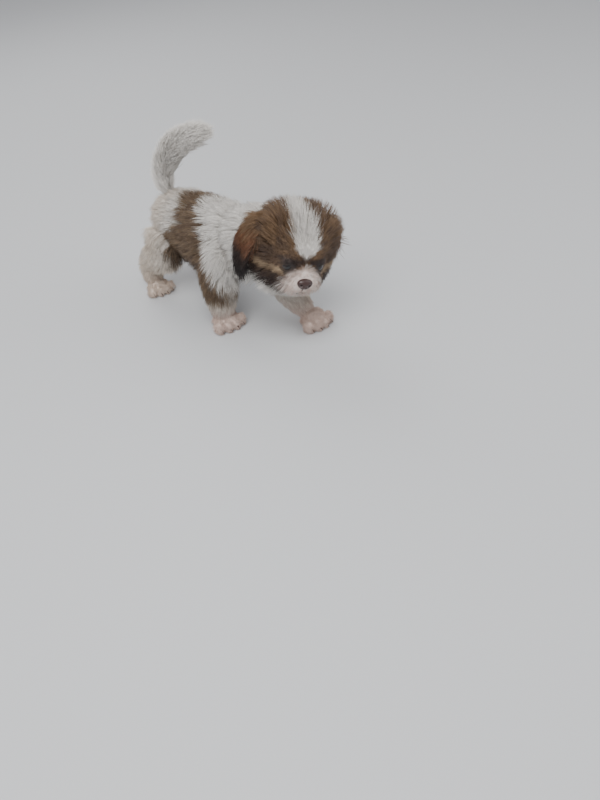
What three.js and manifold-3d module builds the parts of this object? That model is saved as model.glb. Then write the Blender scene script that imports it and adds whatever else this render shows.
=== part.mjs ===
// Shih tzu puppy about eight weeks old, stepping forward with its head low: a still, life-size model.
// Millimetres, +Z up. The puppy faces -Y and its left side is +X. The floor is at Z = 0.
import * as THREE from "three";
import { mergeVertices } from "three/addons/utils/BufferGeometryUtils.js";
import Module from "manifold-3d";

const wasm = await Module();
wasm.setup();

// Driving dimensions. COAT_DEPTH is how far the coat's tips stand out from the forms' girths.
const BACK_HEIGHT = 127;
const CHEST_HALF_WIDTH = 37;
const CHEST_HALF_DEPTH = 40;
const COAT_DEPTH = { body: 4.5, leg: 2 };
const GAP = 0.3;

const HEAD_CENTRE = [7, -127, 111];
const HEAD_TURN = { yaw: -27, pitch: 9, roll: 16 };
const SKULL_HALF_WIDTH = 43;
const SKULL_HALF_HEIGHT = 40;
const SKULL_HALF_LENGTH = 39;
const MUZZLE_FRONT = 51;
const EYE_RADIUS = 7.2;
const EYE_HALF_SPACING = 16.2;

const FOREPAW = { long: 36, wide: 33, high: 19 };
const HINDPAW = { long: 33, wide: 28, high: 17 };

// The move that puts the middle of the whole on the origin.
const PLACE = [-3.5, 36.5, 0];

const vec = (x, y, z) => new THREE.Vector3(x, y, z);
const radians = THREE.MathUtils.degToRad;
const X_AXIS = vec(1, 0, 0);

// A closed body drawn out along a spine. Each station is [x, y, z, half width, half depth], with the
// width along side. A low roundness gives blunt ends, and cup bends the section into a shallow trough.
function softBody(stations, options = {}) {
  const { side = X_AXIS, sides = 16, rings = 12, roundness = 0.5, grow = 0, cup = 0 } = options;
  const places = stations.map(([x, y, z]) => vec(x, y, z));
  const spine = new THREE.CatmullRomCurve3(places, false, "centripetal");
  const girth = (t) => {
    const place = t * (stations.length - 1);
    const i = Math.min(Math.floor(place), stations.length - 2);
    const blend = THREE.MathUtils.smoothstep(place - i, 0, 1);
    return [3, 4].map((k) => THREE.MathUtils.lerp(stations[i][k], stations[i + 1][k], blend) + grow);
  };
  // The point at t along the spine. Angle 0 is towards side, and fullness 1 is on the surface.
  const point = (t, angle, fullness) => {
    const along = spine.getTangent(t);
    const up = side.clone().cross(along).normalize();
    const across = along.clone().cross(up).normalize();
    const [wide, deep] = girth(t);
    const a = Math.cos(angle) * fullness;
    const b = Math.sin(angle) * fullness;
    return spine
      .getPoint(t)
      .addScaledVector(along, grow * (2 * t - 1))
      .addScaledVector(across, a * wide)
      .addScaledVector(up, b * deep - cup * a * a);
  };
  const geometry = new THREE.SphereGeometry(1, sides, rings);
  const position = geometry.getAttribute("position");
  for (let i = 0; i < position.count; i++) {
    const ball = vec(position.getX(i), position.getY(i), position.getZ(i));
    const ring = Math.hypot(ball.x, ball.z);
    const fullness = ring < 1e-6 ? 0 : ring ** roundness;
    const p = point(THREE.MathUtils.clamp((1 - ball.y) / 2, 0, 1), Math.atan2(ball.z, ball.x), fullness);
    position.setXYZ(i, p.x, p.y, p.z);
  }
  return geometry;
}

// A geometry as a solid that can be joined and cut.
function solid(geometry) {
  const bare = geometry.clone();
  bare.deleteAttribute("normal");
  bare.deleteAttribute("uv");
  const merged = mergeVertices(bare, 1e-3);
  const triVerts = new Uint32Array(merged.index.array);
  const vertProperties = merged.attributes.position.array;
  const build = () => new wasm.Manifold(new wasm.Mesh({ numProp: 3, vertProperties, triVerts }));
  const made = build();
  if (made.volume() > 0) return made;
  for (let i = 0; i < triVerts.length; i += 3) {
    [triVerts[i + 1], triVerts[i + 2]] = [triVerts[i + 2], triVerts[i + 1]];
  }
  return build();
}

const bodySolid = (stations, options) => solid(softBody(stations, options));
const join = (pieces) => pieces.reduce((all, piece) => all.add(piece));

function ball([x, y, z], [rx, ry, rz], { grow = 0, sides = 14, rings = 10 } = {}) {
  const geometry = new THREE.SphereGeometry(1, sides, rings);
  geometry.rotateX(Math.PI / 2);
  geometry.scale(rx + grow, ry + grow, rz + grow);
  geometry.translate(x, y, z);
  return solid(geometry);
}

function box([x, y, z], [wide, long, high], turn = [0, 0, 0]) {
  const geometry = new THREE.BoxGeometry(wide, long, high);
  geometry.applyMatrix4(new THREE.Matrix4().makeRotationFromEuler(new THREE.Euler(...turn.map(radians))));
  geometry.translate(x, y, z);
  return solid(geometry);
}

const FLOOR = box([0, 0, -50], [600, 600, 100]);

// The largest closed body of what a cut leaves.
function largest(made) {
  return made.decompose().sort((a, b) => b.volume() - a.volume())[0];
}

// The forms, each as a spine with girths.
const TORSO = [
  [0, 97, 92, 22, 24],
  [0, 70, 90, 35, 35],
  [0, 34, BACK_HEIGHT - 37, 34, 37],
  [0, -10, BACK_HEIGHT - 38, CHEST_HALF_WIDTH, 41],
  [0, -46, 94, CHEST_HALF_WIDTH - 1, CHEST_HALF_DEPTH],
  [0, -80, 98, 26, 30],
];
const NECK = [
  [0, -40, 106, 30, 30],
  [2, -80, 108, 33, 33],
  [4, -116, 110, 33, 33],
];
const TAIL = [
  [0, 66, 108, 10, 10],
  [0, 77, 132, 10.5, 10.5],
  [3, 71, 156, 12, 12],
  [7, 54, 177, 13, 12.5],
  [14, 32, 191, 13, 12],
  [20, 12, 199, 9, 9],
];

// Each leg runs from the upper arm or thigh to the ankle, and its paw stands under it.
const LEGS = {
  right_foreleg: {
    bones: [
      [-24, -48, 96, 15, 19],
      [-31, -42, 68, 14, 17],
      [-35, -45, 40, 13, 13.5],
      [-36, -46, 11, 12, 12.5],
    ],
    paw: { place: [-36, -48], aim: -8, size: FOREPAW },
  },
  left_foreleg: {
    bones: [
      [24, -52, 94, 15, 19],
      [26, -68, 62, 14, 16],
      [27, -92, 34, 12.5, 13],
      [29, -117, 15, 11.5, 11],
    ],
    paw: { place: [30, -126], aim: -4, size: FOREPAW },
  },
  right_hindleg: {
    bones: [
      [-22, 64, 82, 17, 27],
      [-32, 60, 60, 14, 20],
      [-37, 82, 36, 10.5, 12.5],
      [-39, 85, 11, 10.5, 11],
    ],
    paw: { place: [-39, 78], aim: -10, size: HINDPAW },
  },
  left_hindleg: {
    bones: [
      [22, 52, 82, 17, 26],
      [31, 40, 60, 14, 19],
      [35, 58, 36, 10.5, 12.5],
      [36, 62, 11, 10.5, 11],
    ],
    paw: { place: [36, 56], aim: 6, size: HINDPAW },
  },
};

// The paw: a low pad with four toes, two ahead and one at each side, each with a small claw.
function paw({ place: [x, y], aim, size: { long, wide, high } }) {
  const toe = wide * 0.165;
  const pieces = [ball([0, 0, high * 0.42], [wide * 0.44, long * 0.4, high * 0.56], { sides: 10, rings: 7 })];
  for (const step of [-1.5, -0.5, 0.5, 1.5]) {
    const forward = Math.abs(step) < 1 ? -long * 0.34 : -long * 0.24;
    const across = step * toe * 1.75;
    const toeRadii = [toe * 1.08, long * 0.2, high * 0.42];
    const clawTop = [across, forward - long * 0.2, high * 0.2];
    pieces.push(ball([across, forward, high * 0.34], toeRadii, { sides: 7, rings: 5 }));
    pieces.push(ball(clawTop, [1.1, 3.2, 1.3], { sides: 4, rings: 3 }));
  }
  return join(pieces).rotate([0, 0, aim]).translate([x, y, 0]);
}

function leg({ bones, paw: foot }) {
  const limb = bodySolid(bones, { sides: 14, rings: 13, roundness: 0.35, grow: COAT_DEPTH.leg });
  return join([limb, paw(foot)]);
}

// The head is modelled about the centre of the skull, facing -Y, and then turned as it is held.
const toWorld = new THREE.Matrix4()
  .makeTranslation(...HEAD_CENTRE)
  .multiply(new THREE.Matrix4().makeRotationZ(radians(HEAD_TURN.yaw)))
  .multiply(new THREE.Matrix4().makeRotationX(radians(HEAD_TURN.pitch)))
  .multiply(new THREE.Matrix4().makeRotationY(radians(HEAD_TURN.roll)));
const posed = (made) => made.transform(toWorld.elements);

// Swellings and hollows of the head, the same on both sides: [direction, height, spread].
const FEATURES = [
  [vec(0, -1, -0.3), 11, 0.42],
  [vec(0.27, -1, -0.46), 5, 0.26],
  [vec(0, -1, -0.8), 4, 0.24],
  [vec(0.45, -0.6, -0.95), 7, 0.42],
  [vec(0.7, -0.65, -0.5), 6, 0.4],
  [vec(0, 0.45, 1), 10.5, 0.85],
  [vec(1, 0.3, -0.1), 4, 0.6],
  [vec(0.44, -0.88, 0), -3.5, 0.22],
  [vec(0.3, -0.85, 0.4), 3, 0.3],
  [vec(0, -1, 0.04), -3.5, 0.2],
];

// A point of the head's surface in a direction from its centre.
function headPoint(direction) {
  const ellipsoid = vec(SKULL_HALF_WIDTH, SKULL_HALF_LENGTH, SKULL_HALF_HEIGHT);
  let radius = 1 / direction.clone().divide(ellipsoid).length();
  const folded = direction.clone().setX(Math.abs(direction.x));
  for (const [towards, height, spread] of FEATURES) {
    radius += height * Math.exp(-((folded.angleTo(towards) / spread) ** 2));
  }
  return direction.clone().multiplyScalar(radius);
}

// The rings lie closer together over the face.
function headForm() {
  const geometry = new THREE.SphereGeometry(1, 40, 32);
  const position = geometry.getAttribute("position");
  for (let i = 0; i < position.count; i++) {
    const p = vec(position.getX(i), position.getY(i), position.getZ(i));
    const turn = Math.atan2(p.z, p.x);
    const down = Math.PI * (Math.acos(THREE.MathUtils.clamp(p.y, -1, 1)) / Math.PI) ** 1.35;
    const direction = vec(Math.sin(down) * Math.cos(turn), -Math.cos(down), Math.sin(down) * Math.sin(turn));
    position.setXYZ(i, ...headPoint(direction).toArray());
  }
  return solid(geometry);
}

const MIRRORED = [-1, 1];
const EYE = { x: EYE_HALF_SPACING, y: -33, z: 0.5 };
const NOSE = [0, -MUZZLE_FRONT, -11];

// Two balls for the lids, one above and one below, leave an almond of the eye open between them.
function lids(hand) {
  const radii = Array(3).fill(EYE_RADIUS + 1.1);
  const centre = (rise) => [hand * (EYE.x - 0.2), EYE.y + 1.6, EYE.z + rise];
  return join([2.2, -2.6].map((rise) => ball(centre(rise), radii, { sides: 12, rings: 9 })));
}

// The line of the mouth under the lips and the split below the nose.
function faceCuts() {
  const cuts = [box([0, -54, -22], [1, 9, 9])];
  for (const hand of MIRRORED) {
    const lip = [
      [0, -50, -27, 0.9, 4],
      [hand * 9, -48, -30, 0.9, 4],
      [hand * 17, -40, -29, 0.9, 3],
      [hand * 23, -31, -26, 0.7, 2],
    ];
    cuts.push(bodySolid(lip, { side: vec(0, 0, 1), sides: 6, rings: 7 }));
  }
  return join(cuts);
}

const eye = (hand, grow = 0) =>
  posed(ball([hand * EYE.x, EYE.y, EYE.z], Array(3).fill(EYE_RADIUS), { grow, sides: 14, rings: 10 }));

function nose(grow = 0) {
  const pad = join([
    ball(NOSE, [8.2, 5, 5.4], { grow, sides: 12, rings: 8 }),
    ball([0, NOSE[1] + 1, NOSE[2] - 4], [4.6, 4, 3.6], { grow, sides: 10, rings: 6 }),
  ]);
  if (grow) return posed(pad);
  const nostrils = MIRRORED.map((hand) =>
    ball([hand * 4.2, NOSE[1] - 4.6, NOSE[2] - 0.8], [1.7, 2.6, 1.5], { sides: 8, rings: 6 }),
  );
  return posed(pad.subtract(join(nostrils)));
}

// A hanging ear: a leaf that folds over at its root, cupped towards the cheek. The left one lies closer.
const EARS = {
  right: {
    hand: -1,
    leaf: [
      [30, 8, 30, 10, 4],
      [44, 7, 26, 16, 4.2],
      [54, 4, 6, 20, 4],
      [56, 1, -15, 18, 3.4],
      [51, -1, -36, 9, 2.6],
    ],
  },
  left: {
    hand: 1,
    leaf: [
      [30, 11, 30, 10, 4],
      [43, 11, 26, 15, 4.2],
      [52, 10, 8, 18, 4],
      [53, 9, -8, 16, 3.4],
      [49, 8, -24, 8, 2.6],
    ],
  },
};
function ear({ hand, leaf }, grow = 0) {
  const stations = leaf.map(([x, ...rest]) => [hand * x, ...rest]);
  const form = { side: vec(0, 1, 0), sides: 16, rings: 14, cup: -6 * hand, grow };
  return posed(bodySolid(stations, form));
}

const head = join([headForm(), ...MIRRORED.map(lids)]);
let whole = join([
  bodySolid(TORSO, { sides: 30, rings: 24, grow: COAT_DEPTH.body }),
  bodySolid(NECK, { sides: 26, rings: 14, roundness: 0.35, grow: COAT_DEPTH.body }),
  bodySolid(TAIL, { sides: 14, rings: 20, roundness: 0.4 }),
  posed(head),
  ...Object.values(LEGS).map(leg),
]);
whole = whole.subtract(posed(faceCuts()));

const solids = {};
for (const [label, plan] of Object.entries(EARS)) {
  solids[label + "_ear"] = ear(plan);
  solids[label + "_eye"] = eye(plan.hand);
  whole = whole.subtract(ear(plan, GAP)).subtract(eye(plan.hand, GAP));
}
solids.nose = nose();
whole = whole.subtract(nose(GAP)).subtract(FLOOR);

// The thin cuts between the parts. A prism with a side view [y, z] runs across the body, and one
// with a front view [x, z] runs along it. What lies in the prism is the part.
function prism(outline, from, to, acrossBody, grow = 0) {
  const corners = outline.map(([a, b]) => new THREE.Vector2(a, b));
  const middle = corners.reduce((sum, corner) => sum.add(corner), new THREE.Vector2());
  middle.divideScalar(corners.length);
  for (const corner of corners) {
    const outwards = corner.clone().sub(middle);
    corner.add(new THREE.Vector2(Math.sign(outwards.x), Math.sign(outwards.y)).multiplyScalar(grow));
  }
  const depth = to - from + 2 * grow;
  const geometry = new THREE.ExtrudeGeometry(new THREE.Shape(corners), { depth, bevelEnabled: false });
  geometry.translate(0, 0, from - grow);
  const [X, Y, Z] = [X_AXIS, vec(0, 1, 0), vec(0, 0, 1)];
  const basis = acrossBody ? [Y, Z, X] : [X, Z, Y];
  geometry.applyMatrix4(new THREE.Matrix4().makeBasis(...basis));
  return solid(geometry);
}

const side = (outline) => (grow) => prism(outline, -110, 110, true, grow);
const legSide = (hand, inner, outer, from, to) => (grow) =>
  prism([[hand * 1, -20], [hand * 90, -20], [hand * 90, outer], [hand * 1, inner]], from, to, false, grow);

const PARTS = {
  tail: side([[-40, 152], [50, 138], [106, 116], [140, 116], [140, 240], [-40, 240]]),
  head: side([[-94, 190], [-108, 52], [-200, 52], [-200, 190]]),
  neck: side([[-64, 190], [-76, 82], [-112, 82], [-92, 190]]),
  right_foreleg: legSide(-1, 36, 88, -95, -14),
  left_foreleg: legSide(1, 36, 88, -180, -14),
  right_hindleg: legSide(-1, 36, 88, 20, 130),
  left_hindleg: legSide(1, 36, 88, 8, 130),
};
for (const [name, cutter] of Object.entries(PARTS)) {
  solids[name] = largest(whole.intersect(cutter(0)));
  whole = whole.subtract(cutter(GAP));
}
solids.torso = largest(whole);

const COLOURS = {
  torso: 0xd8cfc4, neck: 0xe0dcd6, head: 0x7a5a3e, tail: 0xdedad4, nose: 0x3a2522,
  right_ear: 0x4a352a, left_ear: 0x4a352a, right_eye: 0x120d0b, left_eye: 0x120d0b,
};

function node(name, made) {
  const { vertProperties, triVerts } = made.getMesh();
  const geometry = new THREE.BufferGeometry();
  geometry.setAttribute("position", new THREE.BufferAttribute(vertProperties, 3));
  geometry.setIndex(new THREE.BufferAttribute(triVerts, 1));
  const glossy = name.endsWith("eye") || name === "nose";
  const material = new THREE.MeshStandardMaterial({
    color: COLOURS[name] ?? 0xd9cdc2,
    roughness: glossy ? 0.25 : 0.9,
    metalness: 0,
  });
  const part = new THREE.Mesh(geometry, material);
  part.name = name;
  return part;
}

const puppy = new THREE.Group();
for (const [name, made] of Object.entries(solids)) puppy.add(node(name, made));
puppy.position.set(...PLACE);
export default puppy;
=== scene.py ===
"""A shih tzu puppy of about eight weeks, stepping forward with its head low.

Places are in millimetres in the frame of the puppy's own plan, with the puppy facing -Y, its left side
at +X and the floor at Z = 0. PLAN_MIDDLE moves that plan to the shared frame, which is in metres.
"""

import math

import bpy
import numpy as np
from mathutils import Euler, Matrix, Vector, kdtree


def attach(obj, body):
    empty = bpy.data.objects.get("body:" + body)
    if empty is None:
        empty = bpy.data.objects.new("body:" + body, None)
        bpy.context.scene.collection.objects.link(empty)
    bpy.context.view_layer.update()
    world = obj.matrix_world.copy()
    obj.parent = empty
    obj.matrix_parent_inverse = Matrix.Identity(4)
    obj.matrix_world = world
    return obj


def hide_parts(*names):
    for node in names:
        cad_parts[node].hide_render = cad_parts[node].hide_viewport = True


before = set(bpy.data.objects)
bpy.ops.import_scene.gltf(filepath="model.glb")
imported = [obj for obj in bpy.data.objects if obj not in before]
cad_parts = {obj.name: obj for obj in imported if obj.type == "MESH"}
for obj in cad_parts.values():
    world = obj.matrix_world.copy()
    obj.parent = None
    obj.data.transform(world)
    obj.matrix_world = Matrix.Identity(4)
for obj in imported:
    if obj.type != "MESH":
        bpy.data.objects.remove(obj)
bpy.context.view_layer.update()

PLAN_MIDDLE = np.array([-3.5, 36.5, 0.0])
MM = 0.001
QUICK_SHARE = 1.0

BACK_HEIGHT = 127
CHEST_HALF_WIDTH = 37
CHEST_HALF_DEPTH = 40

HEAD_CENTRE = np.array([7.0, -127.0, 111.0])
HEAD_TURN = {"yaw": -27, "pitch": 9, "roll": 16}
SKULL_HALF_SIZES = np.array([43.0, 39.0, 40.0])
EYE_RADIUS = 7.2
EYE_PLACE = np.array([16.2, -33.0, 0.5])
NOSE_PLACE = np.array([0.0, -50.0, -11.0])

LID_RISES = (3.2, -3.3)
FACE_INSET = 0.5
CROWN_INSET = 3.0

SKIN_VOXEL = 1.5
# The skin takes the coat's markings darkened, as painted shade beneath the hair.
SKIN_PAINTED_SHADE = 0.88

# The strands of the coat: how many, how they are split into pieces, and how they vary.
STRANDS = 84000
PIECE_TRIANGLES = 190000
BAKE_PATCH = 0.003
ROOT_DEPTH = 0.6
FLOOR_GAP = 0.4
TIP_SHARE = 0.38
# Painted shade and light along each strand: its colour is darker at the root, deep in the coat, and lighter
# at the tip.
ROOT_PAINTED_SHADE = 0.84
PAINTED_SHADE_RISE = 0.2
TIP_PAINTED_LIGHT = 1.06
CLUMP_NOISE = 0.28
STRAND_NOISE = 0.12
TINT_SPREAD = 0.09

CAMERA_PLACE = (-497.9, -684.7, 521.2)
CAMERA_HEADING = 41.6
CAMERA_PITCH = 39.5
CAMERA_ROLL = -5.5
CAMERA_LENS = 36
SENSOR_WIDTH = 36

DOWN = np.array([0.0, 0.0, -1.0])

rng = np.random.default_rng(29)


# Small helpers.
def metres(points):
    """Points of the plan, in metres in the shared frame."""
    return (np.asarray(points, float) + PLAN_MIDDLE) * MM


def unit(vectors):
    return vectors / np.maximum(np.linalg.norm(vectors, axis=-1, keepdims=True), 1e-9)


def smooth(low, high, value):
    share = np.clip((value - low) / (high - low), 0, 1)
    return share * share * (3 - 2 * share)


def mix(a, b, share):
    return a + (b - a) * np.asarray(share)[..., None]


def srgb(red, green, blue):
    """A colour as eyes name it, from 0 to 255, in the renderer's linear values."""
    value = np.array([red, green, blue]) / 255
    return np.where(value > 0.04045, ((value + 0.055) / 1.055) ** 2.4, value / 12.92)


# The forms under the coat, along the solids' spines. A station is x, y, z, half width, half depth.
class Form:
    """A body drawn out along a spine through its stations."""

    def __init__(self, stations, inset, flow=1, side=(1, 0, 0), roundness=0.5, cup=0.0):
        self.stations = np.array(stations, float)
        self.inset = inset
        self.flow = flow
        self.side = np.array(side, float)
        self.roundness = roundness
        self.cup = cup

    def at(self, t):
        """Point, tangent and girths of the spine."""
        places = self.stations[:, :3]
        padded = np.vstack([2 * places[0] - places[1], places, 2 * places[-1] - places[-2]])
        last = len(places) - 1
        i = np.clip((t * last).astype(int), 0, last - 1)
        u = (t * last - i)[:, None]
        a, b, c, d = (padded[i + k] for k in range(4))
        square = 2 * a - 5 * b + 4 * c - d
        cube = 3 * b - a - 3 * c + d
        point = 0.5 * (2 * b + (c - a) * u + square * u**2 + cube * u**3)
        slope = 0.5 * ((c - a) + 2 * square * u + 3 * cube * u**2)
        girth = mix(self.stations[i, 3:], self.stations[i + 1, 3:], smooth(0, 1, u[:, 0]))
        return point, unit(slope), girth

    def surface(self, ball):
        """The vertices of a unit sphere, moved to this form's skin."""
        ball = np.asarray(ball)
        t = np.clip((1 - ball[:, 2]) / 2, 0, 1)
        ring = np.hypot(ball[:, 0], ball[:, 1])
        angle = np.arctan2(ball[:, 1], ball[:, 0])
        point, along, girth = self.at(t)
        up = unit(np.cross(self.side, along))
        across = unit(np.cross(along, up))
        a = np.cos(angle) * ring**self.roundness
        b = np.sin(angle) * ring**self.roundness
        wide, deep = np.maximum(girth - self.inset, 0.8).T
        ends = -self.inset * (2 * t - 1)
        lift = b * deep - self.cup * a * a
        return point + along * ends[:, None] + across * (a * wide)[:, None] + up * lift[:, None]


# Each paw's place on the floor, the way that it points, and its length, width and height.
FOREPAW = (36, 33, 19)
HINDPAW = (33, 28, 17)
TOE_SHARE = 0.165
TOE_SPACING = 1.75
PAWS = {
    "right_forepaw": ((-36, -48), -8, FOREPAW),
    "left_forepaw": ((30, -126), -4, FOREPAW),
    "right_hindpaw": ((-39, 78), -10, HINDPAW),
    "left_hindpaw": ((36, 56), 6, HINDPAW),
}

FORMS = {
    "torso": Form(
        [
            [0, 99, 92, 23, 25],
            [0, 70, 90, 35, 35],
            [0, 34, BACK_HEIGHT - 37, 34, 37],
            [0, -10, BACK_HEIGHT - 38, CHEST_HALF_WIDTH, 41],
            [0, -46, 94, CHEST_HALF_WIDTH - 1, CHEST_HALF_DEPTH],
            [0, -80, 98, 26, 30],
        ],
        inset=4.5,
        flow=-1,
    ),
    "neck": Form(
        [[0, -40, 106, 30, 30], [2, -80, 108, 33, 33], [4, -116, 110, 33, 33]],
        inset=6,
        flow=-1,
        roundness=0.35,
    ),
    "tail": Form(
        [
            [0, 66, 108, 10, 10],
            [0, 77, 132, 10.5, 10.5],
            [3, 71, 156, 12, 12],
            [7, 54, 177, 13, 12.5],
            [14, 32, 191, 13, 12],
            [20, 12, 199, 9, 9],
        ],
        inset=4.5,
        roundness=0.4,
    ),
    "right_foreleg": Form(
        [[-24, -48, 96, 15, 19], [-31, -42, 68, 14, 17], [-35, -45, 40, 13, 13.5], [-36, -46, 11, 12, 12.5]],
        inset=-0.5,
        roundness=0.35,
    ),
    "left_foreleg": Form(
        [[24, -52, 94, 15, 19], [26, -68, 62, 14, 16], [27, -92, 34, 12.5, 13], [29, -117, 15, 11.5, 11]],
        inset=-0.5,
        roundness=0.35,
    ),
    "right_hindleg": Form(
        [[-22, 64, 82, 17, 27], [-32, 60, 60, 14, 20], [-37, 82, 36, 10.5, 12.5], [-39, 85, 11, 10.5, 11]],
        inset=-0.5,
        roundness=0.35,
    ),
    "left_hindleg": Form(
        [[22, 52, 82, 17, 26], [31, 40, 60, 14, 19], [35, 58, 36, 10.5, 12.5], [36, 62, 11, 10.5, 11]],
        inset=-0.5,
        roundness=0.35,
    ),
}

# The head is planned about the centre of the skull, facing -Y, and then turned as it is held.
HEAD_MATRIX = np.array(
    Matrix.Rotation(math.radians(HEAD_TURN["yaw"]), 3, "Z")
    @ Matrix.Rotation(math.radians(HEAD_TURN["pitch"]), 3, "X")
    @ Matrix.Rotation(math.radians(HEAD_TURN["roll"]), 3, "Y")
)


def from_head(points):
    return np.asarray(points) @ HEAD_MATRIX.T + HEAD_CENTRE


def to_head(points):
    return (points - HEAD_CENTRE) @ HEAD_MATRIX


# Swellings and hollows of the head, the same on both sides: direction, height in mm, spread in radians.
FEATURES = [
    ((0, -1, -0.3), 11, 0.42),
    ((0.27, -1, -0.46), 5, 0.26),
    ((0, -1, -0.8), 4, 0.24),
    ((0.45, -0.6, -0.95), 5, 0.42),
    ((0.7, -0.65, -0.5), 4, 0.4),
    ((0.44, -0.88, 0), 0.3, 0.25),
    ((0.3, -0.85, 0.4), 3, 0.3),
    ((0, -1, 0.04), -3.5, 0.2),
    ((0.75, 0.15, 0.8), 6, 0.45),
]


def head_surface(ball):
    """The vertices of a unit sphere, moved to the skin of the head."""
    direction = unit(np.asarray(ball))
    radius = 1 / np.linalg.norm(direction / SKULL_HALF_SIZES, axis=1)
    folded = direction.copy()
    folded[:, 0] = np.abs(folded[:, 0])
    for towards, height, spread in FEATURES:
        angle = np.arccos(np.clip(folded @ unit(np.array(towards, float)), -1, 1))
        radius = radius + height * np.exp(-((angle / spread) ** 2))
    down = np.arccos(np.clip(-direction[:, 1], -1, 1))
    radius = radius - (FACE_INSET + (CROWN_INSET - FACE_INSET) * smooth(0.5, 1.1, down))
    return from_head(direction * radius[:, None])


# The ears as leaves beside the skull, each with its side and its stations from root to tip.
EARS = {
    "right_ear": (
        -1,
        [
            [30, 8, 30, 10, 4],
            [44, 7, 26, 16, 4.2],
            [54, 4, 6, 20, 4],
            [56, 1, -15, 18, 3.4],
            [51, -1, -36, 9, 2.6],
        ],
    ),
    "left_ear": (
        1,
        [
            [30, 11, 30, 10, 4],
            [42, 11, 24, 15, 4],
            [49, 10, 8, 18, 3.6],
            [50, 9, -8, 16, 3.2],
            [46, 8, -24, 8, 2.6],
        ],
    ),
}


def ear_form(hand, leaf):
    """The ear's stations turned with the head. Its width runs along the head."""
    turned = [[*from_head(np.array([hand * x, y, z])), wide, deep] for x, y, z, wide, deep in leaf]
    return Form(turned, inset=2.0, side=HEAD_MATRIX @ np.array([0, 1, 0]), cup=-6.0 * hand)


for label, (hand, leaf) in EARS.items():
    FORMS[label] = ear_form(hand, leaf)


# The skin: every form as a moved sphere, joined and remeshed into one surface.
def sphere(segments=40, rings=28):
    bpy.ops.mesh.primitive_uv_sphere_add(segments=segments, ring_count=rings, radius=1, location=(0, 0, 0))
    return bpy.context.object


def vertices(mesh):
    points = np.empty(len(mesh.vertices) * 3)
    mesh.vertices.foreach_get("co", points)
    return points.reshape(-1, 3)


def place(mesh, points):
    mesh.vertices.foreach_set("co", metres(points).ravel())
    mesh.update()


def make_form(shape, segments=40, rings=28):
    blank = sphere(segments, rings)
    place(blank.data, shape(vertices(blank.data)))
    return blank


def toe_places(long, wide):
    """How far across and ahead of the pad's middle each toe lies. The two in the middle reach further."""
    for step in (-1.5, -0.5, 0.5, 1.5):
        yield step * wide * TOE_SHARE * TOE_SPACING, -long * (0.34 if abs(step) < 1 else 0.24)


def paw_pieces(spot, aim, sizes):
    """The pad and its four toes, each a moved sphere."""
    long, wide, high = sizes
    toe = wide * TOE_SHARE
    turn = np.array(Matrix.Rotation(math.radians(aim), 3, "Z"))
    balls = [((0, 0, high * 0.42), (wide * 0.42, long * 0.38, high * 0.52))]
    for across, ahead in toe_places(long, wide):
        balls.append(((across, ahead, high * 0.32), (toe * 0.98, long * 0.18, high * 0.38)))
    for centre, radii in balls:
        yield lambda ball, centre=centre, radii=radii: (
            (ball * np.array(radii) + np.array(centre)) @ turn.T + np.array([*spot, 0])
        )


def select_only(objects):
    bpy.ops.object.select_all(action="DESELECT")
    for one in objects:
        one.select_set(True)
    bpy.context.view_layer.objects.active = objects[0]


def modify(target, kind, **settings):
    select_only([target])
    modifier = target.modifiers.new(kind.title(), kind)
    for key, value in settings.items():
        setattr(modifier, key, value)
    bpy.ops.object.modifier_apply(modifier=modifier.name)


def lid_surface(hand, rise):
    """A ball around the eyeball, set back and up or down. The two leave an almond of the eye open."""
    centre = EYE_PLACE * np.array([hand, 1, 1]) + np.array([-0.2 * hand, 1.6, rise])
    return lambda ball: from_head(ball * (EYE_RADIUS + 1.1) + centre)


def build_skin():
    """Joins every form and remeshes them into one surface, with the unwrap that the coat's patches use."""
    parts = [make_form(form.surface) for form in FORMS.values()]
    parts.append(make_form(head_surface, 64, 48))
    parts += [make_form(lid_surface(hand, rise), 24, 16) for hand in (-1, 1) for rise in LID_RISES]
    for spot, aim, sizes in PAWS.values():
        parts += [make_form(shape, 20, 14) for shape in paw_pieces(spot, aim, sizes)]
    select_only(parts)
    bpy.ops.object.join()
    skin = bpy.context.object
    skin.name = "skin"
    modify(skin, "REMESH", mode="VOXEL", voxel_size=SKIN_VOXEL * MM)
    modify(skin, "SMOOTH", factor=0.5, iterations=3)
    points = vertices(skin.data) / MM - PLAN_MIDDLE
    points[:, 2] = np.maximum(points[:, 2], 0.3)
    place(skin.data, points)
    bpy.ops.object.shade_smooth()
    bpy.ops.object.mode_set(mode="EDIT")
    bpy.ops.mesh.select_all(action="SELECT")
    bpy.ops.uv.smart_project(angle_limit=math.radians(66), island_margin=0.002)
    bpy.ops.object.mode_set(mode="OBJECT")
    skin.data.uv_layers[0].name = "OFBake"
    return skin


# Which form a place on the skin belongs to, and which way the coat lies there.
BLEND_SHARPNESS = 7
LABELS = [*FORMS, "head", *PAWS]
DROOP = {"torso": 0.35, "neck": 0.35, "tail": 0.1}


def leaf_distance(gap, along, girth):
    """Distance from an ear's spine as a share of its half width, its thickness and a step of its length."""
    across = unit(HEAD_MATRIX @ np.array([0.0, 1.0, 0.0]))
    thick = unit(np.cross(along, across))
    shares = np.column_stack([
        gap @ across / girth[:, 0],
        (gap * thick).sum(axis=1) / (girth[:, 1] + 1.5),
        (gap * along).sum(axis=1) / 8,
    ])
    return np.linalg.norm(shares, axis=1) * 0.8


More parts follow.
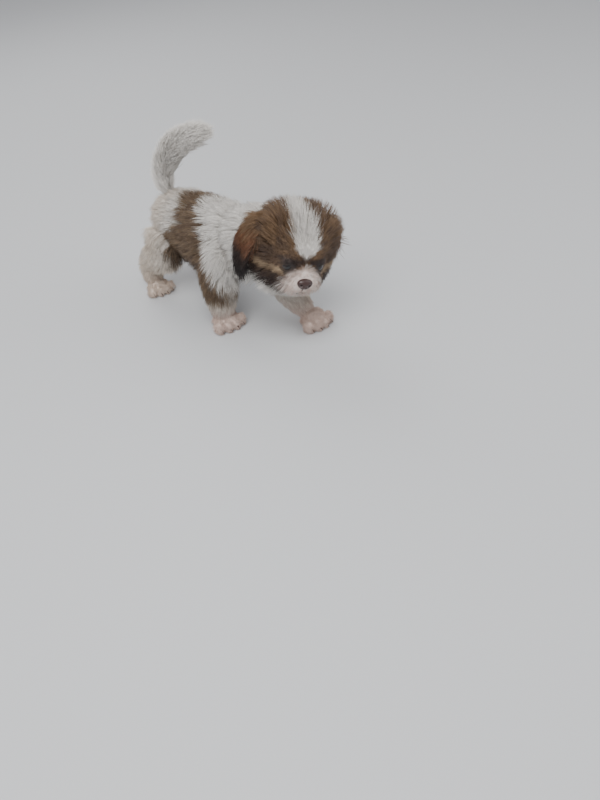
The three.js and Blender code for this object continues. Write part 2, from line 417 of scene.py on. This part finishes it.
def nearness(points):
    """For each label the distance from its spine in girths, and the flow along it."""
    distances, flows = [], []
    for label in LABELS:
        if label == "head":
            local = to_head(points)
            distances.append(np.linalg.norm(local / (SKULL_HALF_SIZES + 2), axis=1) * 0.92)
            flows.append(head_flow(local))
            continue
        if label in PAWS:
            (x, y), aim, (long, wide, high) = PAWS[label]
            half_sizes = np.array([wide * 0.5, long * 0.52, high * 0.62])
            gap = (points - np.array([x, y - 3, high * 0.4])) / half_sizes
            distances.append(np.linalg.norm(gap, axis=1))
            flows.append(np.broadcast_to(unit(np.array([0.0, -0.75, -0.6])), points.shape))
            continue
        form = FORMS[label]
        t = np.linspace(0.02, 0.98, 26)
        spots, tangents, girths = form.at(t)
        gap = np.linalg.norm(points[:, None] - spots[None], axis=2) / girths.mean(axis=1)[None]
        best = gap.argmin(axis=1)
        if label in EARS:
            distances.append(leaf_distance(points - spots[best], tangents[best], girths[best]))
        else:
            distances.append(gap[np.arange(len(points)), best])
        flow = tangents[best] * form.flow
        flows.append(unit(flow + DOWN * DROOP.get(label, 0.0)))
    return np.array(distances), np.array(flows)


def head_flow(local):
    """The coat of the face leads away from the bridge of the nose, and from there back over the head."""
    away = unit(local - np.array([0, -47, 0]))
    away = away + np.array([0, 0.35, 0]) * smooth(-35, 0, local[:, 1])[:, None]
    low = smooth(-5, 30, -local[:, 2])
    away = away + np.array([0, 0.1, -0.55]) * low[:, None]
    return unit(away @ HEAD_MATRIX.T)


# The coat of each kind of part. coat_plan adds what changes from place to place.
COAT = {
    "torso": {"radius": 0.27, "density": 0.95},
    "neck": {"lift": 0.72, "radius": 0.27, "density": 1.0},
    "head": {},
    "tail": {"length": 21, "lift": 0.56, "radius": 0.26, "density": 2.2, "droop": 0.0},
    "leg": {"lift": 0.62, "density": 1.5, "droop": 0.2},
    "ear": {"length": 18, "lift": 0.34, "radius": 0.25, "density": 1.6, "droop": 0.35},
    "paw": {"length": 6, "lift": 0.5, "radius": 0.18, "density": 2.2, "droop": 0.1},
}


def coat_plan(points, normals):
    """The nearest part's label, the way the coat lies, and its length and other values at each root."""
    distances, flows = nearness(points)
    weights = np.exp(-BLEND_SHARPNESS * (distances - distances.min(axis=0)))
    weights /= weights.sum(axis=0)
    lie = unit((weights[..., None] * flows).sum(axis=0))
    label = distances.argmin(axis=0)
    value = {key: np.zeros(len(points)) for key in ("length", "lift", "radius", "density", "droop")}
    local = to_head(points)
    for i, name in enumerate(LABELS):
        kind = name
        for ending in ("leg", "ear", "paw"):
            if name.endswith(ending):
                kind = ending
        settings = dict(COAT[kind])
        if name == "head":
            settings.update(head_coat(local))
        if kind == "leg":
            high = smooth(15, 60, points[:, 2])
            settings["length"] = 9 + 8 * high
            settings["radius"] = 0.2 + 0.04 * high
        if name == "neck":
            under = smooth(0.0, 0.8, -normals[:, 2])
            settings["length"] = 23 + 22 * under
            settings["droop"] = 0.35 + 0.6 * under
        if name == "torso":
            low = 1 - smooth(55, 75, points[:, 2])
            rump = smooth(25, 70, points[:, 1])
            chest = smooth(55, 75, -points[:, 1]) * smooth(-0.1, 0.5, -normals[:, 2])
            settings["length"] = 23 + 9 * low - 5 * rump + 14 * chest
            settings["lift"] = 0.62 - 0.06 * rump
            settings["droop"] = 0.2 + 0.4 * low
        for key, one in settings.items():
            value[key] = value[key] + weights[i] * one
    lie = unit(lie - normals * (lie * normals).sum(axis=1, keepdims=True))
    return label, lie, value


def head_coat(local):
    """The face has a short coat, the muzzle's sides and the chin a longer one, and the crown the longest."""
    direction = unit(local)
    down = np.arccos(np.clip(-direction[:, 1], -1, 1))
    back = smooth(0.5, 1.2, down)
    low = smooth(0.3, 0.75, -direction[:, 2]) * smooth(-50, -25, local[:, 1])
    side = smooth(0.2, 0.5, np.abs(direction[:, 0])) * (1 - smooth(-0.3, 0.1, direction[:, 2]))
    chin = smooth(0.55, 0.95, -direction[:, 2])
    length = 7 + 16 * back + 8 * side * (1 - back) + 11 * low * (1 - 0.5 * back) + 10 * chin
    for hand in (-1, 1):
        eye = EYE_PLACE * np.array([hand, 1, 1])
        room = np.linalg.norm(local - eye, axis=1) - EYE_RADIUS
        length = np.minimum(length, 2.6 + 0.8 * np.maximum(room - 2, 0))
    room = np.linalg.norm((local - NOSE_PLACE) / np.array([9.5, 8, 7.5]), axis=1) - 1
    length = np.minimum(length, 1.5 + 9 * np.maximum(room, 0))
    crown = smooth(0.0, 0.7, direction[:, 2]) * back
    lift = 0.6 + 0.25 * back + 0.15 * crown
    droop = 0.2 + 0.6 * chin
    density = 2.6 - 1.3 * back
    return {"length": length, "lift": lift, "radius": 0.15 + 0.09 * back, "density": density, "droop": droop}


# Markings: the same functions colour the skin and the coat.
WHITE = srgb(240, 236, 230)
CREAM = srgb(236, 220, 200)
PINK = srgb(226, 202, 190)
GOLD = srgb(130, 103, 76)
BROWN = srgb(100, 80, 65)
DARK = srgb(62, 48, 42)
BLACK = srgb(38, 30, 28)
TAN = srgb(178, 154, 124)
RUST = srgb(126, 84, 58)

# The saddle's rear and front edges, as y at each height above the floor.
SADDLE_REAR = ([45, 73, 89, 97, 105, 120, 129], [40, 46, 40, 28, 14, 22, 56])
SADDLE_FRONT = ([45, 80, 92, 111, 122, 131], [-60, -48, -37, -32, -10, 14])
BLAZE_HALF_WIDTH = ([6, 12, 17, 24, 32, 40, 47], [0.5, 4, 10, 13, 11, 7, 3])


def body_colour(points, noise):
    x, y, z = points.T
    rear = np.interp(z, *SADDLE_REAR)
    front = np.interp(z, *SADDLE_FRONT)
    inside = np.minimum(rear - y, y - front) / 9 + noise * 0.9
    saddle = smooth(-0.25, 0.35, inside) * smooth(38, 50, z)
    deep = smooth(10, 40, y) * smooth(116, 128, z) + (1 - smooth(62, 84, z)) * smooth(-30, 0, y) * 0.5
    brown = mix(mix(BROWN, TAN, np.clip(0.35 + noise, 0, 0.6)), DARK, np.clip(deep + noise * 0.4, 0, 1))
    white = mix(WHITE, CREAM, np.clip(smooth(10, 70, y) * 0.6 + (1 - smooth(30, 70, z)) * 0.4, 0, 0.8))
    white = mix(white, PINK, (1 - smooth(8, 40, z)) * (0.9 - 0.5 * smooth(10, 40, y)))
    white = mix(white, brown, saddle)
    band = (12 - np.abs(z - 52)) / 8 + noise
    sleeve = smooth(-0.3, 0.4, band) * smooth(-72, -54, y) * smooth(-30, -10, -y)
    return mix(white, brown, sleeve * smooth(26, 40, -x + noise * 10) * 0.9)


def head_colour(local, noise):
    x, y, z = local.T
    wide = np.abs(x)
    top = mix(GOLD, BROWN, np.clip(0.4 + noise * 1.6, 0, 1))
    top = mix(top, DARK, np.clip(noise * 1.5 - 0.15, 0, 0.5))
    colour = mix(top, DARK, smooth(-4, 12, wide - 20) * smooth(-24, -8, -z) * smooth(-10, 25, -y) * 0.6)
    blaze = np.interp(z, *BLAZE_HALF_WIDTH) - np.abs(x + 7 * smooth(24, 46, z)) - 8 * smooth(0, 20, y)
    colour = mix(colour, WHITE, smooth(-0.25, 0.3, blaze / 6 + noise) * smooth(4, 10, z))
    brow = 1 - np.hypot((wide - 14) / 13, (z - 6.5) / 4.5) + noise * 0.8
    colour = mix(colour, DARK, smooth(-0.4, 0.4, brow) * smooth(15, 25, -y))
    patch = 1 - np.hypot((wide - 25) / 15, (z + 20) / 11) + noise * 0.6
    colour = mix(colour, DARK, smooth(-0.25, 0.25, patch) * smooth(-5, 8, -y))
    streak = 1 - np.hypot((wide - 29) / 12, (z + 5.5) / 3.2) + noise
    colour = mix(colour, TAN, smooth(-0.3, 0.6, streak) * smooth(5, 15, -y) * 0.75)
    socket = np.hypot(wide - EYE_PLACE[0], z) / 9
    colour = mix(colour, BLACK, (1 - smooth(0.55, 1.15, socket + noise * 0.5)) * smooth(20, 30, -y) * 0.9)
    muzzle = 1 - np.hypot(x / 21, (z + 15) / 17) + noise * 0.25
    pale = mix(PINK, WHITE, np.clip(0.35 + noise, 0, 1))
    colour = mix(colour, pale, smooth(-0.1, 0.25, muzzle) * smooth(28, 36, -y))
    chin = smooth(-0.3, 0.3, (-z - 27 + wide * 0.12) / 8 + noise * 0.5)
    colour = mix(colour, WHITE, chin)
    nape = smooth(22, 34, y + noise * 8)
    return mix(colour, WHITE, nape)


def ear_colour(local, noise):
    z = local[:, 2]
    colour = mix(GOLD, RUST, smooth(-26, -14, -z + noise * 12))
    colour = mix(colour, DARK, smooth(-16, 0, -z + noise * 12))
    return mix(colour, BLACK, smooth(-4, 14, -z + noise * 10))


def colours(points, label, noise):
    """The markings at each point. The noise frays their edges."""
    local = to_head(points)
    result = body_colour(points, noise)
    is_head = label == LABELS.index("head")
    is_ear = np.isin(label, [LABELS.index("right_ear"), LABELS.index("left_ear")])
    is_tail = label == LABELS.index("tail")
    result[is_head] = head_colour(local, noise)[is_head]
    result[is_ear] = ear_colour(local, noise)[is_ear]
    result[is_tail] = WHITE
    return result


def paint(mesh, values):
    """Stores a colour at each vertex, for the materials of painted()."""
    layer = mesh.attributes.new("coat_colour", "FLOAT_COLOR", "POINT")
    opaque = np.column_stack([values, np.ones(len(values))])
    layer.data.foreach_set("color", opaque.astype(np.float32).ravel())


# Tufts: thin tapered strands with three sides, sunk in the skin, gathered towards their clump's tip.
def sample_roots(skin, count):
    """Roots spread over the skin by area and density, with the skin's normal and unwrap there."""
    mesh = skin.data
    mesh.calc_loop_triangles()
    triangles = np.empty(len(mesh.loop_triangles) * 3, int)
    loops = np.empty(len(mesh.loop_triangles) * 3, int)
    mesh.loop_triangles.foreach_get("vertices", triangles)
    mesh.loop_triangles.foreach_get("loops", loops)
    triangles = triangles.reshape(-1, 3)
    loops = loops.reshape(-1, 3)
    points = vertices(mesh) / MM - PLAN_MIDDLE
    normals = np.empty(len(points) * 3)
    mesh.vertices.foreach_get("normal", normals)
    normals = normals.reshape(-1, 3)
    unwrap = np.empty(len(mesh.loops) * 2)
    mesh.uv_layers["OFBake"].data.foreach_get("uv", unwrap)
    unwrap = unwrap.reshape(-1, 2)
    corners = points[triangles]
    area = np.linalg.norm(np.cross(corners[:, 1] - corners[:, 0], corners[:, 2] - corners[:, 0]), axis=1) / 2
    density = coat_plan(corners.mean(axis=1), unit(normals[triangles].mean(axis=1)))[2]["density"]
    chance = area * density
    chosen = rng.choice(len(area), size=count, p=chance / chance.sum())
    a = np.sqrt(rng.random(count))
    b = rng.random(count)
    share = np.column_stack([1 - a, a * (1 - b), a * b])[..., None]
    roots = (corners[chosen] * share).sum(axis=1)
    normal = unit((normals[triangles[chosen]] * share).sum(axis=1))
    uv = (unwrap[loops[chosen]] * share).sum(axis=1)
    return roots, normal, uv


def bare(roots):
    """Where no hair grows: on the eyes, on the nose leather and under the soles."""
    local = to_head(roots)
    hidden = roots[:, 2] < 1.2
    opening = np.hypot((np.abs(local[:, 0]) - EYE_PLACE[0]) / 6.6, (local[:, 2] - EYE_PLACE[2]) / 4.2)
    hidden |= (opening < 1) & (local[:, 1] < EYE_PLACE[1])
    hidden |= np.linalg.norm((local - NOSE_PLACE) / np.array([9, 7.5, 7]), axis=1) < 1
    return hidden


def centre_lines(roots, normals, lie, value, segments):
    """The bent middle line of each strand, from just under the skin to its tip."""
    count = len(roots)
    share = (np.arange(segments) + 0.5) / segments
    length = value["length"] * rng.uniform(0.75, 1.15, count)
    step = length / segments
    angle = (value["lift"] + rng.normal(0, 0.12, count))[:, None] * (1.25 - share[None])
    sway = unit(np.cross(normals, lie)) * rng.normal(0, 0.16, count)[:, None]
    heading = np.sin(angle)[..., None] * normals[:, None] + np.cos(angle)[..., None] * lie[:, None]
    heading = heading + sway[:, None] + (value["droop"][:, None] * share[None])[..., None] * DOWN
    heading = unit(heading) * step[:, None, None]
    start = roots - normals * ROOT_DEPTH
    return np.concatenate([start[:, None], start[:, None] + np.cumsum(heading, axis=1)], axis=1)


def gather(line, roots, spacing, pull):
    """Pulls the strands of a clump towards the line of one of them."""
    guides = rng.choice(len(roots), size=max(1, len(roots) // spacing), replace=False)
    tree = kdtree.KDTree(len(guides))
    for i, guide in enumerate(guides):
        tree.insert(roots[guide], i)
    tree.balance()
    nearest = np.array([guides[tree.find(root)[1]] for root in roots])
    share = np.linspace(0, 1, line.shape[1])[None, :, None] ** 1.3
    gathered = line + (line[nearest] - line) * share * pull
    return gathered, nearest


def strand_mesh(name, line, radius, tints, uv):
    """One mesh of tapered strands: rings of three corners, and a tip."""
    count, rings = line.shape[0], line.shape[1] - 1
    tangent = unit(np.diff(line, axis=1))
    aside = unit(np.cross(tangent, DOWN + np.array([0.11, 0.07, 0])))
    over = np.cross(tangent, aside)
    turn = np.radians([90, 210, 330])
    taper = 1 - (1 - TIP_SHARE) * np.arange(rings) / rings
    offset = aside[:, :, None] * np.cos(turn)[None, None, :, None]
    offset = offset + over[:, :, None] * np.sin(turn)[None, None, :, None]
    ring = line[:, :-1, None] + offset * (radius[:, None] * taper[None])[..., None, None]
    ring = ring.reshape(count, rings * 3, 3)
    points = np.concatenate([ring, line[:, -1:]], axis=1)
    points[..., 2] = np.maximum(points[..., 2], FLOOR_GAP)
    each = rings * 3 + 1
    faces = [[0, 2, 1]]
    for k in range(rings - 1):
        for i in range(3):
            a, b = k * 3 + i, k * 3 + (i + 1) % 3
            faces += [[a, b, b + 3], [a, b + 3, a + 3]]
    for i in range(3):
        a, b = (rings - 1) * 3 + i, (rings - 1) * 3 + (i + 1) % 3
        faces.append([a, b, each - 1])
    faces = np.array(faces)
    index = (faces[None] + (np.arange(count) * each)[:, None, None]).reshape(-1)
    mesh = bpy.data.meshes.new(name)
    mesh.vertices.add(count * each)
    mesh.vertices.foreach_set("co", metres(points.reshape(-1, 3)).ravel())
    total = count * len(faces)
    mesh.loops.add(total * 3)
    mesh.loops.foreach_set("vertex_index", index)
    mesh.polygons.add(total)
    mesh.polygons.foreach_set("loop_start", np.arange(total) * 3)
    mesh.update()
    mesh.polygons.foreach_set("use_smooth", np.ones(total, bool))
    corner = np.zeros((each, 2))
    corner[:-1, 0] = np.tile([0, 0.5, 1], rings)
    corner[:-1, 1] = np.repeat(np.arange(rings) / rings, 3)
    corner[-1] = [0.5, 1]
    patch = (corner - 0.5) * BAKE_PATCH
    layer = mesh.uv_layers.new(name="OFBake")
    spread = (uv[:, None] + patch[None]).reshape(-1, 2)
    layer.data.foreach_set("uv", spread[index].ravel())
    # Painted shade and light along each strand: darker at the root, deep in the coat, and lighter at the tip.
    painted_shade_and_light = np.concatenate([np.repeat(ROOT_PAINTED_SHADE + PAINTED_SHADE_RISE * np.arange(rings) / rings, 3), [TIP_PAINTED_LIGHT]])
    paint(mesh, (tints[:, None] * painted_shade_and_light[None, :, None]).reshape(-1, 3))
    made = bpy.data.objects.new(name, mesh)
    bpy.context.scene.collection.objects.link(made)
    return made


GROUPS = {
    "coat_torso": ["torso"],
    "coat_neck": ["neck"],
    "coat_head": ["head"],
    "coat_ears": ["right_ear", "left_ear"],
    "coat_tail": ["tail"],
    "coat_forelegs": ["right_foreleg", "left_foreleg", "right_forepaw", "left_forepaw"],
    "coat_hindlegs": ["right_hindleg", "left_hindleg", "right_hindpaw", "left_hindpaw"],
}
USUAL_CLUMP = {"spacing": 12, "pull": 0.4}
CLUMPS = {
    "coat_torso": {"spacing": 14, "pull": 0.5},
    "coat_neck": {"spacing": 16, "pull": 0.6},
    "coat_head": {"spacing": 12, "pull": 0.5},
    "coat_tail": {"spacing": 10, "pull": 0.3},
}
SLOTS = {
    "coat_torso": "coat_torso",
    "coat_neck": "coat_white",
    "coat_head": "coat_head",
    "coat_ears": "coat_ears",
    "coat_tail": "coat_white",
    "coat_forelegs": "coat_legs",
    "coat_hindlegs": "coat_legs",
}


def build_coat(skin):
    """The coat's pieces with their slots. Each group is split from front to back into pieces of like size."""
    roots, normals, uv = sample_roots(skin, int(STRANDS * QUICK_SHARE))
    keep = ~bare(roots)
    roots, normals, uv = roots[keep], normals[keep], uv[keep]
    label, lie, value = coat_plan(roots, normals)
    pieces = []
    for group, members in GROUPS.items():
        own = np.isin(label, [LABELS.index(member) for member in members])
        segments = 4 if group in ("coat_head", "coat_tail", "coat_neck") else 3
        picked = {key: one[own] for key, one in value.items()}
        line = centre_lines(roots[own], normals[own], lie[own], picked, segments)
        line, clump = gather(line, roots[own], **CLUMPS.get(group, USUAL_CLUMP))
        count = own.sum()
        noise = rng.normal(0, CLUMP_NOISE, count)[clump] * 0.8 + rng.normal(0, STRAND_NOISE, count)
        tints = colours(roots[own][clump] * 0.6 + roots[own] * 0.4, label[own], noise)
        tints = tints * rng.normal(1, TINT_SPREAD, count)[:, None]
        radius = picked["radius"] * rng.uniform(0.8, 1.2, count) * QUICK_SHARE**-0.5
        order = np.argsort(roots[own][:, 1])
        per_piece = PIECE_TRIANGLES // (6 * (segments - 1) + 4)
        batches = np.array_split(order, math.ceil(count / per_piece))
        for i, batch in enumerate(batches):
            name = f"{group}_{i + 1}" if len(batches) > 1 else group
            piece = strand_mesh(name, line[batch], radius[batch], tints[batch], uv[own][batch])
            pieces.append((piece, SLOTS[group]))
    return pieces


# Materials.
def principled(name, **settings):
    material = bpy.data.materials.new(name)
    material.use_nodes = True
    shader = material.node_tree.nodes["Principled BSDF"]
    for key, value in settings.items():
        shader.inputs[key.replace("_", " ").title().replace("Ior", "IOR")].default_value = value
    return material, shader


def painted(name, **settings):
    """A material that takes its colour from the coat's markings."""
    material, shader = principled(name, **settings)
    reader = material.node_tree.nodes.new("ShaderNodeAttribute")
    reader.attribute_name = "coat_colour"
    material.node_tree.links.new(reader.outputs["Color"], shader.inputs["Base Color"])
    return material


def leather(name, colour):
    """The nose: fine pebbles in a moist surface."""
    material, shader = principled(name, base_color=(*colour, 1), roughness=0.38, coat_weight=0.25)
    nodes = material.node_tree.nodes
    where = nodes.new("ShaderNodeTexCoord")
    cells = nodes.new("ShaderNodeTexVoronoi")
    cells.inputs["Scale"].default_value = 1300
    bump = nodes.new("ShaderNodeBump")
    bump.inputs["Strength"].default_value = 0.35
    bump.inputs["Distance"].default_value = 0.0003
    link = material.node_tree.links.new
    link(where.outputs["Object"], cells.inputs["Vector"])
    link(cells.outputs["Distance"], bump.inputs["Height"])
    link(bump.outputs["Normal"], shader.inputs["Normal"])
    return material


def dress(target, material, slot):
    target.data.materials.clear()
    target.data.materials.append(material)
    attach(target, "root")


# The eyes, nose, mouth and claws.
def eye_surface(hand):
    centre = EYE_PLACE * np.array([hand, 1, 1])
    forward = unit(np.array([hand * 0.22, -1, 0.02]))

    def shape(ball):
        outward = unit(ball)
        front = np.clip(outward @ forward, 0, 1)
        cornea = 0.5 * smooth(0.8, 0.97, front)
        return from_head(centre + outward * (EYE_RADIUS - 0.25 + cornea)[:, None])

    return shape, centre, forward


def build_eye(name, hand):
    shape, centre, forward = eye_surface(hand)
    made = make_form(shape, 48, 32)
    made.name = name
    bpy.ops.object.shade_smooth()
    local = to_head(vertices(made.data) / MM - PLAN_MIDDLE)
    angle = np.arccos(np.clip(unit(local - centre) @ forward, -1, 1))
    iris = mix(srgb(40, 26, 20), srgb(22, 15, 13), smooth(0.45, 0.85, angle))
    colour = mix(np.broadcast_to(srgb(7, 5, 5), iris.shape), iris, smooth(0.4, 0.5, angle))
    colour = mix(colour, srgb(46, 34, 30), smooth(1.0, 1.2, angle))
    paint(made.data, colour)
    return made


def nose_surface(ball):
    """A rounded pad, wider above, with two nostrils and the groove between them."""
    x, y, z = ball.T
    wide = 8.3 * (1 + 0.18 * z)
    point = np.column_stack([x * wide, y * 4.8, z * 6.0 - 1.0])
    front = smooth(0.2, 0.8, -y)
    hollow = np.zeros(len(x))
    for hand in (-1, 1):
        hollow += 3.6 * np.exp(-(((point[:, 0] - hand * 4.2) / 1.5) ** 2) - ((point[:, 2] + 1.2) / 1.3) ** 2)
        hollow += 2.2 * np.exp(-(((point[:, 0] - hand * 6.3) / 1.6) ** 2) - ((point[:, 2] + 2.6) / 0.9) ** 2)
    hollow += 1.0 * np.exp(-((point[:, 0] / 0.6) ** 2)) * smooth(-1, 1, -point[:, 2] - 1)
    point[:, 1] += hollow * front
    return from_head(point + NOSE_PLACE)


def ribbon(name, places, thick):
    """A slim round band through places on the head."""
    curve = bpy.data.curves.new(name, "CURVE")
    curve.dimensions = "3D"
    curve.bevel_depth = thick * MM
    curve.bevel_resolution = 3
    line = curve.splines.new("POLY")
    spots = metres(from_head(np.array(places, float)))
    line.points.add(len(spots) - 1)
    for point, spot in zip(line.points, spots):
        point.co = (*spot, 1)
    made = bpy.data.objects.new(name, curve)
    bpy.context.scene.collection.objects.link(made)
    select_only([made])
    bpy.ops.object.convert(target="MESH")
    return bpy.context.object


def on_head(x, z):
    """The place on the face's skin that lies at x, z when seen from straight ahead."""
    direction = unit(np.array([[x / SKULL_HALF_SIZES[0], -1.0, z / SKULL_HALF_SIZES[2]]]))
    for _ in range(12):
        spot = to_head(head_surface(direction))[0]
        direction = unit(direction + np.array([[(x - spot[0]) / 60, 0, (z - spot[2]) / 60]]))
    return to_head(head_surface(direction))[0]


def build_mouth():
    lines = []
    for hand in (-1, 1):
        places = []
        for share in np.linspace(0, 1, 14):
            x = hand * 19 * share
            z = -24.5 - 6.5 * math.sin(math.pi * min(share * 1.25, 1) * 0.6) + 3.5 * max(share - 0.7, 0)
            places.append(on_head(x, z) + np.array([0, -0.2, 0]))
        lines.append(ribbon("mouth", places, 0.75))
    split = [on_head(0, z) + np.array([0, -0.3, 0]) for z in np.linspace(-17, -24.5, 6)]
    lines.append(ribbon("mouth", split, 0.55))
    select_only(lines)
    bpy.ops.object.join()
    bpy.context.object.name = "mouth"
    return bpy.context.object


def build_claws():
    claws = []
    for spot, aim, (long, wide, high) in PAWS.values():
        turn = Matrix.Rotation(math.radians(aim), 3, "Z")
        for across, ahead in toe_places(long, wide):
            offset = turn @ Vector((across, ahead - long * 0.2 - 0.6, high * 0.24))
            bpy.ops.mesh.primitive_cone_add(
                vertices=14,
                radius1=1.1 * MM,
                radius2=0.2 * MM,
                depth=5.5 * MM,
                location=metres([spot[0] + offset.x, spot[1] + offset.y, offset.z]).tolist(),
                rotation=Euler((math.radians(112), 0, math.radians(aim))),
            )
            claws.append(bpy.context.object)
    select_only(claws)
    bpy.ops.object.join()
    made = bpy.context.object
    bpy.ops.object.transform_apply()
    made.name = "claws"
    bpy.ops.object.shade_smooth()
    return made


skin = build_skin()
skin_points = vertices(skin.data) / MM - PLAN_MIDDLE
skin_normals = np.empty(len(skin_points) * 3)
skin.data.vertices.foreach_get("normal", skin_normals)
skin_label = coat_plan(skin_points, skin_normals.reshape(-1, 3))[0]
# The skin's colour: the markings darkened, as painted shade beneath the coat.
paint(skin.data, colours(skin_points, skin_label, np.zeros(len(skin_points))) * SKIN_PAINTED_SHADE)
dress(skin, painted("Skin", roughness=0.75), "coat_torso")
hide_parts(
    "torso", "neck", "head", "tail", "right_ear", "left_ear",
    "right_foreleg", "left_foreleg", "right_hindleg", "left_hindleg",
)

fur = painted("Fur", roughness=0.55)
for piece, slot in build_coat(skin):
    dress(piece, fur, slot)

wet = painted("Eye", roughness=0.12, coat_weight=0.3, coat_roughness=0.03)
for side_name, hand in (("right", -1), ("left", 1)):
    eye = build_eye(f"{side_name}_eyeball", hand)
    dress(eye, wet, "eyes")
    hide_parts(f"{side_name}_eye")

nose = make_form(nose_surface, 96, 72)
nose.name = "nose_leather"
bpy.ops.object.shade_smooth()
dress(nose, leather("Nose leather", srgb(58, 36, 33)), "nose")
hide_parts("nose")

lip, _ = principled("Lip", base_color=(*srgb(58, 38, 34), 1), roughness=0.5)
dress(build_mouth(), lip, "nose")

horn, _ = principled("Claw", base_color=(*srgb(92, 74, 66), 1), roughness=0.35)
dress(build_claws(), horn, "nose")


# The studio: a pale floor, soft lights and the photo's camera.
def studio():
    bpy.ops.mesh.primitive_plane_add(size=8, location=(0, 0, 0))
    floor = bpy.context.object
    floor.name = "floor"
    pale, _ = principled("Floor", base_color=(0.62, 0.63, 0.64, 1), roughness=0.6)
    floor.data.materials.append(pale)
    lamps = {
        "key": ((-0.7, -0.5, 1.3), 1.0, 20),
        "fill": ((0.9, -0.8, 0.8), 1.2, 5.5),
        "back": ((0.3, 1.1, 1.0), 0.9, 6),
    }
    for name, (spot, size, power) in lamps.items():
        bpy.ops.object.light_add(type="AREA", location=spot)
        lamp = bpy.context.object
        lamp.name = name
        lamp.data.size = size
        lamp.data.energy = power
        aim = Vector((0, 0, 0.1)) - Vector(spot)
        lamp.rotation_euler = aim.to_track_quat("-Z", "Y").to_euler()
    world = bpy.data.worlds.new("Studio")
    bpy.context.scene.world = world
    world.use_nodes = True
    world.node_tree.nodes["Background"].inputs["Color"].default_value = (0.97, 0.97, 1.0, 1)
    world.node_tree.nodes["Background"].inputs["Strength"].default_value = 0.55


def camera():
    bpy.ops.object.camera_add(location=metres(CAMERA_PLACE).tolist())
    made = bpy.context.object
    heading = math.radians(CAMERA_HEADING)
    pitch = math.radians(CAMERA_PITCH)
    level_share = math.cos(pitch)
    ahead = Vector((math.sin(heading) * level_share, math.cos(heading) * level_share, -math.sin(pitch)))
    level = ahead.to_track_quat("-Z", "Y").to_matrix()
    made.rotation_euler = (level @ Matrix.Rotation(math.radians(CAMERA_ROLL), 3, "Z")).to_euler()
    made.data.lens = CAMERA_LENS
    made.data.sensor_width = SENSOR_WIDTH
    made.data.clip_start = 0.01
    bpy.context.scene.camera = made


studio()
camera()
